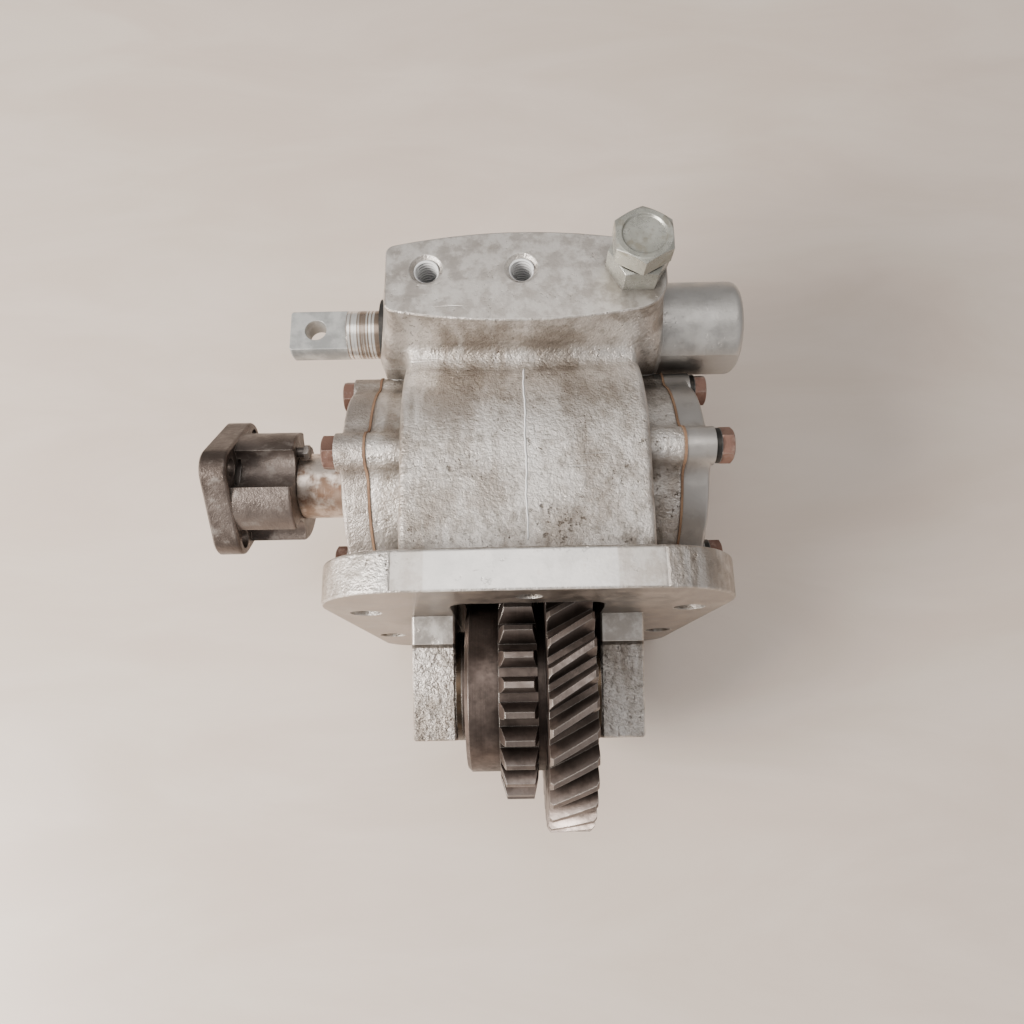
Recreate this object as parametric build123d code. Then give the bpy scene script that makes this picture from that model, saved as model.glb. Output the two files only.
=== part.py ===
"""Side-mount power take-off gearbox with a sliding spur gear, in millimetres.

Origin: centre of the mounting face. +X runs along the shafts towards the blind cover,
+Y runs from the mounting face into the housing, +Z is up. Shaft axes are (Y, Z) pairs.
"""
from build123d import *
import math
import os

# Gears
SPUR_MODULE = 3.5
PRESSURE_ANGLE = 20.0
IDLER_TEETH = 26
SLIDING_TEETH = 27
HELICAL_NORMAL_MODULE = 3.0
HELICAL_TEETH = 34
HELIX_ANGLE = 31.0
TOOTH_THINNING = 0.14
CENTRE_DISTANCE = SPUR_MODULE * (IDLER_TEETH + SLIDING_TEETH) / 2
CENTRE_LINE_ANGLE = 10.5
DRUM_RADIUS = 37.4
DRUM_START = -26.7
SPUR_START = -12.5
SPUR_END = 3.5
HELICAL_START = 7.0
HELICAL_END = 26.0
CLUSTER_HUB_RADIUS = 24.0
CLUSTER_HUB_END = 28.6
SLIDING_START = -11.5
SLIDING_END = 2.5
COLLAR_RADIUS = 27.5
COLLAR_END = 17.0
FORK_GROOVE_START = 6.0
FORK_GROOVE_END = 13.0
FORK_GROOVE_RADIUS = 23.0

# Shaft axes
IDLER_AXIS = (-27.5, -4.0)
OUTPUT_AXIS = (
    IDLER_AXIS[0] + CENTRE_DISTANCE * math.cos(math.radians(CENTRE_LINE_ANGLE)),
    IDLER_AXIS[1] + CENTRE_DISTANCE * math.sin(math.radians(CENTRE_LINE_ANGLE)),
)
ROD_AXIS = (131.0, 32.0)

# Mounting flange
FLANGE_THICKNESS = 16.0
FLANGE_HALF_WIDTH = 83.0
FLANGE_FOOT_HALF_WIDTH = 75.0
FLANGE_TOP = 82.0
FLANGE_CROWN = 85.0
FLANGE_UPPER_CORNER = 34.0
FLANGE_LOWER_CORNER = 20.0
FLANGE_BOTTOM = -88.0
FLANGE_HOLE_RADIUS = 6.5
FLANGE_HOLE_X = 67.0
FLANGE_HOLE_Z = 37.0
STUD_HOLE_RADIUS = 5.1
STUD_HOLE_DEPTH = 12.0
STUD_HOLE_Z = 70.0
WINDOW_HALF_WIDTH = 31.2
WINDOW_TOP = 56.0
WINDOW_BOTTOM = -63.0

# Lugs that carry the idler pin
LUG_OUTER = 49.7
LUG_HALF_HEIGHT = 29.6
LUG_END_HALF_HEIGHT = 15.0
LUG_END = -51.5
LUG_HEIGHT_AT_PIN = LUG_HALF_HEIGHT + (LUG_END_HALF_HEIGHT - LUG_HALF_HEIGHT) * IDLER_AXIS[0] / LUG_END
IDLER_PIN_RADIUS = 12.5
IDLER_PIN_END = 49.2
LOCK_PIN_RADIUS = 2.5
LOCK_PIN_X = 40.5
NEEDLE_RADIUS = 2.0
NEEDLE_COUNT = 18

# Body of the housing
BODY_HALF_WIDTH = 50.0
BODY_RADIUS = 57.5
BODY_TOP_AT_FLANGE = 67.0
SUMP_FRONT = 46.0
SUMP_BACK = 104.0
CAVITY_RADIUS = 52.5
CAVITY_HALF_WIDTH = 44.0
SIDE_FACE = 64.0
BLOCK_FRONT = 108.5
BLOCK_BACK = 154.0
BLOCK_BOTTOM = 8.0
PAD_HEIGHT = 84.0
PAD_LEFT = -55.0
PAD_RIGHT = 58.5
PAD_SLAB = 9.0
ROD_CHAMBER_RADIUS = 17.0
BOSS_RADIUS = 21.0
BOSS_END = 99.0
BOSS_FLAT = 18.6

# Threaded holes and detent plug on the pad
PAD_HOLES_X = (-38.5, 0.0)
PAD_HOLE_RADIUS = 5.1
PAD_HOLE_DEPTH = 26.0
PLUG_X = 46.3
PLUG_RADIUS = 7.0
PLUG_HEX = 22.0
PLUG_NUT_HEIGHT = 11.0
PLUG_HEAD_HEIGHT = 8.8
PLUG_GAP = 1.2
PLUG_TIP = 66.0
DETENT_BALL_RADIUS = 5.0

# Covers
COVER_RADIUS = 43.0
EAR_RADIUS = 8.0
EAR_BLEND = 9.0
EARS = [(15.5, 41.2), (91.0, 45.5), (163.5, 41.2), (236.0, 43.0), (308.0, 43.0)]
GASKET_THICKNESS = 1.0
GASKET_EDGE = 0.5
COVER_INNER = SIDE_FACE + GASKET_THICKNESS
COVER_THICKNESS = 11.0
EAR_RISE = 0.9
COVER_BOLT_RADIUS = 4.0
COVER_BOLT_HEX = 13.0
COVER_BOLT_HEAD = 5.3
COVER_BOLT_REACH = 12.0
BOLT_HOLE_DEPTH = 14.0
SPRING_WASHER = 2.5

# Output shaft, its bearings and the companion flange
BEARING_BORE_RADIUS = 15.0
BEARING_OUTER_RADIUS = 31.0
BEARING_START = 46.0
BEARING_END = 62.0
OIL_SEAL_RADIUS = 22.0
OIL_SEAL_WIDTH = 8.0
CIRCLIP_END = 63.6
CIRCLIP_GROOVE = 14.0
CIRCLIP_RADIUS = 18.5
SHAFT_RIGHT = 66.0
SHAFT_LEFT = -138.6
BALL_RADIUS = 4.7
BALL_CIRCLE = 23.0
BALL_COUNT = 9
SPLINE_COUNT = 8
SPLINE_WIDTH = 6.0
SPLINE_ROOT_RADIUS = 16.0
SPLINE_TIP_RADIUS = 19.0
HUB_END = -102.0
PLATE_INNER = -127.7
PLATE_OUTER = -139.5
PLATE_HALF_SIDE = 25.5
PLATE_CORNER = 10.0
HUB_RADIUS = 25.0
HUB_BORE_RADIUS = 13.0
YOKE_BOLT_CIRCLE = 25.0
YOKE_HOLE_RADIUS = 4.25
YOKE_FIRST_ANGLE = 88.0
SCALLOP_RADIUS = 9.0
RECESS_RADIUS = 20.5
RECESS_FLOOR = -126.0
NUT_THREAD_RADIUS = 10.0
KEY_START = -124.0
KEY_END = -104.0
KEY_WIDTH = 8.0
KEY_HEIGHT = 6.0
KEEPER_RADIUS = 2.25

# Shift rod and fork
ROD_RADIUS = 11.0
ROD_LEFT = -106.0
ROD_RIGHT = 88.0
ROD_FLAT_START = -79.5
ROD_FLAT_THICKNESS = 11.0
ROD_EYE_RADIUS = 5.0
ROD_EYE_X = -94.4
SHIFT_TRAVEL = 17.0
FORK_CENTRE = (FORK_GROOVE_START + FORK_GROOVE_END) / 2
FORK_PIN_RADIUS = 3.0
FORK_BOSS_RADIUS = 15.5
ROD_SEAL_RADIUS = 16.0
ROD_SEAL_WIDTH = 7.0
FORK_RING_RADIUS = 33.0
FORK_ANGLE = math.degrees(
    math.atan2(ROD_AXIS[1] - OUTPUT_AXIS[1], ROD_AXIS[0] - OUTPUT_AXIS[0])
)
ROD_DISTANCE = math.dist(ROD_AXIS, OUTPUT_AXIS)
RUNNING_FIT = 0.05


def turned(profile, axis):
    """Solid of revolution about an X-parallel axis, from (x, radius) points."""
    face = make_face(Polyline(*profile, close=True))
    return Pos(0, *axis) * revolve(face, Axis.X, 360)


def cylinder(radius, x_start, x_end, axis):
    """Plain cylinder along X."""
    low, high = min(x_start, x_end), max(x_start, x_end)
    return Plane.YZ * Pos(*axis, low) * Cylinder(radius, high - low, align=(Align.CENTER, Align.CENTER, Align.MIN))


def ring(outer, inner, x_start, x_end, axis):
    """Plain ring along X."""
    return cylinder(outer, x_start, x_end, axis) - cylinder(inner, x_start - 1, x_end + 1, axis)


def prism(face, x_start, x_end):
    """A (Y, Z) outline carried along X."""
    low, high = min(x_start, x_end), max(x_start, x_end)
    return extrude(Plane.YZ.offset(low) * face, amount=high - low, dir=(1, 0, 0))


def block(x_range, y_range, z_range):
    """Box from its ranges."""
    ranges = (x_range, y_range, z_range)
    centre = [sum(pair) / 2 for pair in ranges]
    return Pos(*centre) * Box(*[abs(pair[1] - pair[0]) for pair in ranges])


def upright(radius, z_low, z_high, x, y):
    """Plain cylinder along Z."""
    return Pos(x, y, z_low) * Cylinder(radius, z_high - z_low, align=(Align.CENTER, Align.CENTER, Align.MIN))


def around(axis, radius, angle):
    """The (Y, Z) point at a radius and angle from an axis."""
    turn = math.radians(angle)
    return (axis[0] + radius * math.cos(turn), axis[1] + radius * math.sin(turn))


KEEPER_CENTRE = around(OUTPUT_AXIS, 19.0, 54.0)


def hex_prism(across_flats, height, turn=0.0):
    """Hexagon standing on Z = 0 with its top corners turned off."""
    corner = across_flats / math.sqrt(3)
    hexagon = extrude(RegularPolygon(corner, 6, rotation=turn), height)
    rim = Cylinder(corner, height, align=(Align.CENTER, Align.CENTER, Align.MIN))
    rim = chamfer(rim.edges().sort_by(Axis.Z)[-1], 0.32 * (corner - across_flats / 2) + 0.4, 1.1 * (corner - across_flats / 2))
    return hexagon & rim


def side_bolt(across_flats, head, radius, shank, turn=0.0):
    """Hex bolt with its seat on the YZ plane, the head towards +X."""
    bolt = hex_prism(across_flats, head, turn) + Pos(0, 0, -shank) * Cylinder(
        radius, shank, align=(Align.CENTER, Align.CENTER, Align.MIN)
    )
    return Plane.YZ * bolt


# ---------------------------------------------------------------- gear teeth

def involute(angle):
    return math.tan(angle) - angle


def tooth_outline(module, teeth, pressure_angle, addendum, dedendum, tooth_angle):
    """Closed gear outline about the origin, one tooth centred on tooth_angle (degrees)."""
    pitch = module * teeth / 2
    base = pitch * math.cos(pressure_angle)
    tip = pitch + addendum
    root = pitch - dedendum
    half_pitch_angle = (math.pi * module / 2 - TOOTH_THINNING) / (2 * pitch)

    def half_angle(radius):
        return half_pitch_angle + involute(pressure_angle) - involute(math.acos(base / radius))

    def point(radius, angle):
        return (radius * math.cos(angle), radius * math.sin(angle))

    start = max(base, root) + 0.01
    flank = [start + (tip - start) * step / 4 for step in range(5)]
    edges = []
    for tooth in range(teeth):
        centre = math.radians(tooth_angle) + 2 * math.pi * tooth / teeth
        following = centre + 2 * math.pi / teeth
        rising = [point(radius, centre - half_angle(radius)) for radius in flank]
        falling = [point(radius, centre + half_angle(radius)) for radius in reversed(flank)]
        foot_low = point(root, centre - half_angle(start))
        foot_high = point(root, centre + half_angle(start))
        next_foot = point(root, following - half_angle(start))
        edges += [
            Line(foot_low, rising[0]),
            Spline(*rising),
            ThreePointArc(rising[-1], point(tip, centre), falling[0]),
            Spline(*falling),
            Line(falling[-1], foot_high),
            ThreePointArc(foot_high, point(root, centre + math.pi / teeth), next_foot),
        ]
    return Face(Wire(edges))


def spur_teeth(teeth, tooth_angle):
    return tooth_outline(
        SPUR_MODULE, teeth, math.radians(PRESSURE_ANGLE), SPUR_MODULE, 1.25 * SPUR_MODULE, tooth_angle
    )


def helical_gear():
    """Helical rim of the cluster, about the origin, rising from Z = 0."""
    helix = math.radians(HELIX_ANGLE)
    module = HELICAL_NORMAL_MODULE / math.cos(helix)
    pressure = math.atan(math.tan(math.radians(PRESSURE_ANGLE)) / math.cos(helix))
    width = HELICAL_END - HELICAL_START
    outline = tooth_outline(
        module, HELICAL_TEETH, pressure, HELICAL_NORMAL_MODULE, 1.25 * HELICAL_NORMAL_MODULE, 90.0
    )
    twist = -math.degrees(width * math.tan(helix) / (module * HELICAL_TEETH / 2))
    return Solid.extrude_linear_with_rotation(outline, (0, 0, 0), (0, 0, width), twist)


def bevelled_blank(tip, root, x_start, x_end, lead_in, lead_out, axis):
    """Turned envelope that bevels the ends of the teeth."""
    return turned(
        [(x_start, 0), (x_start, root), (x_start + lead_in, tip), (x_end - lead_out, tip), (x_end, root), (x_end, 0)],
        axis,
    )


def idler_cluster_gear():
    spur_root = SPUR_MODULE * IDLER_TEETH / 2 - 1.25 * SPUR_MODULE
    spur_tip = SPUR_MODULE * IDLER_TEETH / 2 + SPUR_MODULE
    spur = prism(Pos(*IDLER_AXIS) * spur_teeth(IDLER_TEETH, CENTRE_LINE_ANGLE), SPUR_START, SPUR_END)
    spur &= bevelled_blank(spur_tip + 0.01, spur_root, SPUR_START, SPUR_END, 2.5, 1.8, IDLER_AXIS)
    helical_tip = 62.5
    helical = Plane.YZ * Pos(*IDLER_AXIS, HELICAL_START) * helical_gear()
    helical &= turned(
        [
            (HELICAL_START, 0), (HELICAL_START, helical_tip - 1.2), (HELICAL_START + 1.2, helical_tip + 0.01),
            (HELICAL_END - 1.2, helical_tip + 0.01), (HELICAL_END, helical_tip - 1.2), (HELICAL_END, 0),
        ],
        IDLER_AXIS,
    )
    core = turned(
        [
            (-CLUSTER_HUB_END, 0), (-CLUSTER_HUB_END, CLUSTER_HUB_RADIUS), (DRUM_START, CLUSTER_HUB_RADIUS),
            (DRUM_START, DRUM_RADIUS - 1.6), (DRUM_START + 1.6, DRUM_RADIUS), (HELICAL_START + 1, DRUM_RADIUS),
            (HELICAL_END - 3, DRUM_RADIUS), (HELICAL_END - 3, CLUSTER_HUB_RADIUS),
            (CLUSTER_HUB_END, CLUSTER_HUB_RADIUS), (CLUSTER_HUB_END, 0),
        ],
        IDLER_AXIS,
    )
    bore = IDLER_PIN_RADIUS + 2 * NEEDLE_RADIUS + 2 * RUNNING_FIT
    return core + spur + helical - cylinder(bore, -40, 40, IDLER_AXIS)


def needle_rollers(x_start, x_end):
    circle = IDLER_PIN_RADIUS + NEEDLE_RADIUS + RUNNING_FIT
    return Compound(
        children=[
            cylinder(NEEDLE_RADIUS, x_start, x_end, around(IDLER_AXIS, circle, 360 * turn / NEEDLE_COUNT))
            for turn in range(NEEDLE_COUNT)
        ]
    )


def needle_spacer():
    inner = IDLER_PIN_RADIUS + RUNNING_FIT
    return ring(inner + 2 * NEEDLE_RADIUS, inner, -1.5, 1.5, IDLER_AXIS)


def sliding_gear():
    root = SPUR_MODULE * SLIDING_TEETH / 2 - 1.25 * SPUR_MODULE
    tip = SPUR_MODULE * SLIDING_TEETH / 2 + SPUR_MODULE
    gap_towards_idler = CENTRE_LINE_ANGLE + 180 + 180 / SLIDING_TEETH
    teeth = prism(Pos(*OUTPUT_AXIS) * spur_teeth(SLIDING_TEETH, gap_towards_idler), SLIDING_START, SLIDING_END)
    teeth &= bevelled_blank(tip + 0.01, root, SLIDING_START, SLIDING_END, 1.2, 2.5, OUTPUT_AXIS)
    collar = turned(
        [
            (SLIDING_END - 1, 0), (SLIDING_END - 1, COLLAR_RADIUS), (FORK_GROOVE_START, COLLAR_RADIUS),
            (FORK_GROOVE_START, FORK_GROOVE_RADIUS), (FORK_GROOVE_END, FORK_GROOVE_RADIUS),
            (FORK_GROOVE_END, COLLAR_RADIUS), (COLLAR_END, COLLAR_RADIUS), (COLLAR_END, 0),
        ],
        OUTPUT_AXIS,
    )
    bore = prism(Pos(*OUTPUT_AXIS) * spline_outline(2 * RUNNING_FIT), SLIDING_START - 1, COLLAR_END + 1)
    return teeth + collar - bore


# ------------------------------------------------------------------- housing

def cover_outline(growth=0.0):
    """Round cover outline whose five bolt ears blend into it, as a (Y, Z) face."""
    rim = COVER_RADIUS + growth
    ear = EAR_RADIUS + growth
    blend = EAR_BLEND - growth

    def towards(start, end, distance):
        share = distance / math.dist(start, end)
        return (start[0] + share * (end[0] - start[0]), start[1] + share * (end[1] - start[1]))

    def spread(distance):
        cosine = ((rim + blend) ** 2 + distance**2 - (ear + blend) ** 2) / (2 * (rim + blend) * distance)
        return math.degrees(math.acos(cosine))

    edges = []
    for number, (angle, distance) in enumerate(EARS):
        ear_centre = around(OUTPUT_AXIS, distance, angle)
        start_angle = angle - spread(distance)
        end_angle = angle + spread(distance)
        next_angle, next_distance = EARS[(number + 1) % len(EARS)]
        gap_end = next_angle - spread(next_distance) + (360 if number == len(EARS) - 1 else 0)
        before = around(OUTPUT_AXIS, rim + blend, start_angle)
        after = around(OUTPUT_AXIS, rim + blend, end_angle)
        rim_start = around(OUTPUT_AXIS, rim, start_angle)
        rim_end = around(OUTPUT_AXIS, rim, end_angle)
        ear_start = towards(ear_centre, before, ear)
        ear_end = towards(ear_centre, after, ear)
        rim_middle = around(OUTPUT_AXIS, rim, (end_angle + gap_end) / 2)
        edges += [
            ThreePointArc(rim_start, towards(before, towards(rim_start, ear_start, 3), blend), ear_start),
            ThreePointArc(ear_start, around(OUTPUT_AXIS, distance + ear, angle), ear_end),
            ThreePointArc(ear_end, towards(after, towards(rim_end, ear_end, 3), blend), rim_end),
            ThreePointArc(rim_end, rim_middle, around(OUTPUT_AXIS, rim, gap_end)),
        ]
    return Face(Wire(edges))


def ear_centres():
    return [around(OUTPUT_AXIS, distance, angle) for angle, distance in EARS]


def flange_plate():
    """Mounting flange: crowned top, large upper corners and sides that draw in towards the foot."""
    upper_left = (-FLANGE_HALF_WIDTH, FLANGE_TOP)
    upper_right = (FLANGE_HALF_WIDTH, FLANGE_TOP)
    lower_left = (-FLANGE_FOOT_HALF_WIDTH, FLANGE_BOTTOM)
    lower_right = (FLANGE_FOOT_HALF_WIDTH, FLANGE_BOTTOM)
    outline = Face(
        Wire(
            [
                ThreePointArc(upper_left, (0, FLANGE_CROWN), upper_right),
                Line(upper_right, lower_right),
                Line(lower_right, lower_left),
                Line(lower_left, upper_left),
            ]
        )
    )
    outline = fillet(outline.vertices().sort_by(Axis.Y)[-2:], FLANGE_UPPER_CORNER)
    outline = fillet(outline.vertices().sort_by(Axis.Y)[:2], FLANGE_LOWER_CORNER)
    plate = extrude(Plane.XZ * outline, amount=FLANGE_THICKNESS, dir=(0, 1, 0))
    plate = fillet(plate.faces().sort_by(Axis.Y)[-1].edges(), 1.5)
    return chamfer(plate.faces().sort_by(Axis.Y)[0].edges(), 0.6)


def body_shell():
    """Barrel of the housing about the output axis, with the sump that it stands on."""
    front = FLANGE_THICKNESS - 3
    top = around(OUTPUT_AXIS, BODY_RADIUS, 92)
    rear = around(OUTPUT_AXIS, BODY_RADIUS, 30)
    rear_low = around(OUTPUT_AXIS, BODY_RADIUS, -20)
    outline = Face(
        Wire(
            [
                Line((front, BODY_TOP_AT_FLANGE), top),
                ThreePointArc(top, rear, rear_low),
                Line(rear_low, (SUMP_BACK, FLANGE_BOTTOM)),
                Line((SUMP_BACK, FLANGE_BOTTOM), (SUMP_FRONT, FLANGE_BOTTOM)),
                Line((SUMP_FRONT, FLANGE_BOTTOM), (front, WINDOW_BOTTOM - 8)),
                Line((front, WINDOW_BOTTOM - 8), (front, BODY_TOP_AT_FLANGE)),
            ]
        )
    )
    outline = fillet(outline.vertices().sort_by(Axis.Y)[:2], 9.0)
    shell = prism(outline, -BODY_HALF_WIDTH, BODY_HALF_WIDTH)
    rims = shell.faces().filter_by(Plane.YZ)
    return fillet(rims.edges().filter_by(lambda edge: edge.center().Y > front + 1), 2.5)


def shift_block():
    """Rear block with the fish-belly pad on top, flaring down to the machined side faces."""
    pad = Face(
        Wire(
            [
                ThreePointArc((PAD_LEFT, 113), (0, BLOCK_FRONT - 1), (PAD_RIGHT, 114)),
                Line((PAD_RIGHT, 114), (PAD_RIGHT, 141)),
                ThreePointArc((PAD_RIGHT, 141), (0, 148), (PAD_LEFT, 142)),
                Line((PAD_LEFT, 142), (PAD_LEFT, 113)),
            ]
        )
    )
    pad = fillet(pad.vertices().sort_by(Axis.X)[:2], 4.0)
    pad = fillet(pad.vertices().filter_by(lambda corner: corner.X > 58 and corner.Y > 130), 7.0)
    pad = fillet(pad.vertices().filter_by(lambda corner: corner.X > 58 and corner.Y < 120), 14.0)
    foot = RectangleRounded(2 * SIDE_FACE, BLOCK_BACK - BLOCK_FRONT - 0.5, 7)
    foot_centre = (0, (BLOCK_BACK + BLOCK_FRONT + 0.5) / 2)
    slab = extrude(Pos(0, 0, PAD_HEIGHT - PAD_SLAB) * pad, PAD_SLAB)
    slab = chamfer(slab.faces().sort_by(Axis.Z)[-1].edges(), 0.5)
    skirt = loft(
        [
            Pos(0, 0, PAD_HEIGHT - PAD_SLAB) * pad,
            Pos(*foot_centre, ROD_AXIS[1] + 6) * foot,
        ],
        ruled=True,
    )
    base = extrude(Pos(*foot_centre, BLOCK_BOTTOM) * foot, ROD_AXIS[1] + 6 - BLOCK_BOTTOM)
    return slab + skirt + base


def rod_boss():
    """Closed boss around the right end of the shift rod, flattened beside the cover."""
    boss = cylinder(BOSS_RADIUS, SIDE_FACE - 6, BOSS_END, ROD_AXIS)
    boss = fillet(boss.faces().sort_by(Axis.X)[-1].edges(), 4.0)
    flat_y = ROD_AXIS[0] - BOSS_FLAT
    return boss - block((SIDE_FACE - 10, BOSS_END + 1), (flat_y - 20, flat_y), (0, 60))


def lug(side):
    """Lug that carries one end of the idler pin, lower at its free end."""
    middle = IDLER_AXIS[1]
    root = FLANGE_THICKNESS / 2
    profile = Polyline(
        (root, middle + LUG_HALF_HEIGHT),
        (0, middle + LUG_HALF_HEIGHT),
        (LUG_END, middle + LUG_END_HALF_HEIGHT),
        (LUG_END, middle - LUG_END_HALF_HEIGHT),
        (0, middle - LUG_HALF_HEIGHT),
        (root, middle - LUG_HALF_HEIGHT),
        close=True,
    )
    plate = prism(make_face(profile), side * WINDOW_HALF_WIDTH, side * LUG_OUTER)
    end_edges = plate.faces().sort_by(Axis.Y)[0].edges().filter_by(Axis.X)
    plate = fillet(end_edges, 1.5)
    return chamfer(plate.faces().sort_by(Axis.Y)[0].edges().filter_by(Axis.Z), 0.8)


def gear_chamber():
    """Inside of the housing: round about the gear, open through the mounting face."""
    lower = around(OUTPUT_AXIS, CAVITY_RADIUS, -95)
    upper = around(OUTPUT_AXIS, CAVITY_RADIUS, 95)
    rear = around(OUTPUT_AXIS, CAVITY_RADIUS, 0)
    outline = Wire(
        [
            Line((FLANGE_THICKNESS, WINDOW_TOP), upper),
            ThreePointArc(upper, rear, lower),
            Line(lower, (FLANGE_THICKNESS, WINDOW_BOTTOM)),
            Line((FLANGE_THICKNESS, WINDOW_BOTTOM), (FLANGE_THICKNESS, WINDOW_TOP)),
        ]
    )
    chamber = prism(Face(outline), -CAVITY_HALF_WIDTH, CAVITY_HALF_WIDTH)
    window = RectangleRounded(2 * WINDOW_HALF_WIDTH, WINDOW_TOP - WINDOW_BOTTOM, 8)
    window_centre = (0, (WINDOW_TOP + WINDOW_BOTTOM) / 2)
    opening = extrude(Plane.XZ * Pos(*window_centre) * window, amount=-(FLANGE_THICKNESS + 2))
    return chamber + opening


def rod_chamber():
    """Room behind the gear for the fork and its boss."""
    chamber = cylinder(ROD_CHAMBER_RADIUS, -CAVITY_HALF_WIDTH, CAVITY_HALF_WIDTH, ROD_AXIS)
    throat = Pos((CAVITY_RADIUS + ROD_DISTANCE) / 2 - 6, 0) * Rectangle(ROD_DISTANCE - CAVITY_RADIUS + 12, 27)
    throat = prism(Pos(*OUTPUT_AXIS) * Rot(0, 0, FORK_ANGLE) * throat, -26, 28)
    return chamber + throat


def rod_bore():
    """Guides for the shift rod: open to the left behind a seal, blind in the boss."""
    left = cylinder(ROD_RADIUS + RUNNING_FIT, -SIDE_FACE - 1, -CAVITY_HALF_WIDTH + 1, ROD_AXIS)
    seal = cylinder(ROD_SEAL_RADIUS, -SIDE_FACE - 1, -SIDE_FACE + ROD_SEAL_WIDTH, ROD_AXIS)
    right = cylinder(ROD_RADIUS + RUNNING_FIT, CAVITY_HALF_WIDTH - 1, ROD_RIGHT + 4, ROD_AXIS)
    return left + seal + right


def bearing_seat(side):
    """Bore of one bearing with the lip behind it."""
    bore = cylinder(BEARING_OUTER_RADIUS, side * BEARING_START, side * (SIDE_FACE + 1), OUTPUT_AXIS)
    lip = cylinder(BEARING_OUTER_RADIUS - 4, side * (CAVITY_HALF_WIDTH - 1), side * BEARING_START, OUTPUT_AXIS)
    return bore + lip


def cover_bolt_holes(side):
    holes = [
        cylinder(COVER_BOLT_RADIUS, side * (SIDE_FACE - BOLT_HOLE_DEPTH), side * (SIDE_FACE + 20), centre)
        for centre in ear_centres()
    ]
    return holes[0] + holes[1:]


def pad_holes():
    """Two blind threaded holes with countersinks, and the stepped bore of the detent."""
    sinks = []
    for x in PAD_HOLES_X:
        sinks.append(upright(PAD_HOLE_RADIUS, PAD_HEIGHT - PAD_HOLE_DEPTH, PAD_HEIGHT + 1, x, ROD_AXIS[0]))
        sinks.append(
            Pos(x, ROD_AXIS[0], PAD_HEIGHT - 0.85) * Cone(PAD_HOLE_RADIUS, PAD_HOLE_RADIUS + 1.75, 1.75)
        )
    sinks.append(upright(PLUG_RADIUS, PLUG_TIP - 2, PAD_HEIGHT + 1, PLUG_X, ROD_AXIS[0]))
    sinks.append(upright(DETENT_BALL_RADIUS + 0.1, ROD_AXIS[1], PLUG_TIP, PLUG_X, ROD_AXIS[0]))
    return sinks


def flange_holes():
    """Four through holes, and a blind stud hole above and below the window."""
    through = [
        (side * FLANGE_HOLE_X, height * FLANGE_HOLE_Z, FLANGE_HOLE_RADIUS, FLANGE_THICKNESS + 1)
        for side in (-1, 1)
        for height in (-1, 1)
    ]
    studs = [(0, height * STUD_HOLE_Z, STUD_HOLE_RADIUS, STUD_HOLE_DEPTH) for height in (-1, 1)]
    return [
        Plane.XZ * Pos(x, z) * Cylinder(radius, depth, align=(Align.CENTER, Align.CENTER, Align.MAX))
        for x, z, radius, depth in through + studs
    ]


def under_the_block(edge):
    """Edges where the front wall of the shift block meets the barrel."""
    middle = edge.center()
    return 105 < middle.Y < 112 and 40 < middle.Z < 52 and edge.length > 4


def behind_the_flange(edge):
    """Edges where the barrel meets the back of the flange."""
    middle = edge.center()
    on_back = abs(middle.Y - FLANGE_THICKNESS) < 0.3
    return on_back and abs(middle.X) < BODY_HALF_WIDTH + 1 and -75 < middle.Z < 70


def housing():
    """One aluminium casting: flange, lugs, barrel, side bosses, shift block and boss."""
    casting = body_shell() + shift_block()
    casting = fillet(casting.edges().filter_by(under_the_block), 6.0)
    casting += flange_plate()
    casting = fillet(casting.edges().filter_by(behind_the_flange), 4.0)
    casting += rod_boss() + lug(-1) + lug(1)
    for side in (-1, 1):
        casting += prism(cover_outline(), side * (BODY_HALF_WIDTH - 2), side * SIDE_FACE)
    casting -= gear_chamber()
    casting -= rod_chamber()
    casting -= rod_bore()
    for side in (-1, 1):
        casting -= bearing_seat(side)
        casting -= cover_bolt_holes(side)
    casting -= pad_holes()
    casting -= flange_holes()
    casting -= cylinder(IDLER_PIN_RADIUS, -LUG_OUTER - 1, LUG_OUTER + 1, IDLER_AXIS)
    lock_z = IDLER_AXIS[1] - LUG_HEIGHT_AT_PIN
    casting -= upright(LOCK_PIN_RADIUS, lock_z - 3, IDLER_AXIS[1], -LOCK_PIN_X, IDLER_AXIS[0])
    return casting


def spline_outline(growth=0.0):
    outline = Circle(SPLINE_ROOT_RADIUS + growth)
    middle = (SPLINE_ROOT_RADIUS + SPLINE_TIP_RADIUS) / 2
    for turn in range(SPLINE_COUNT):
        tooth = Pos(middle - 1, 0) * Rectangle(
            SPLINE_TIP_RADIUS - SPLINE_ROOT_RADIUS + 4, SPLINE_WIDTH + 2 * growth
        )
        outline += Rot(0, 0, 360 * turn / SPLINE_COUNT) * tooth
    return outline & Circle(SPLINE_TIP_RADIUS + growth)


# ------------------------------------------------- covers, gaskets and bolts

def ear_pads(x_start, x_end):
    pads = [cylinder(EAR_RADIUS, x_start, x_end, centre) for centre in ear_centres()]
    return pads[0] + pads[1:]


def cover_clearance_holes(side):
    reach = side * (COVER_INNER + COVER_THICKNESS + 3)
    holes = [
        cylinder(COVER_BOLT_RADIUS + 0.4, side * (SIDE_FACE - 1), reach, centre)
        for centre in ear_centres()
    ]
    return holes[0] + holes[1:]


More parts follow.
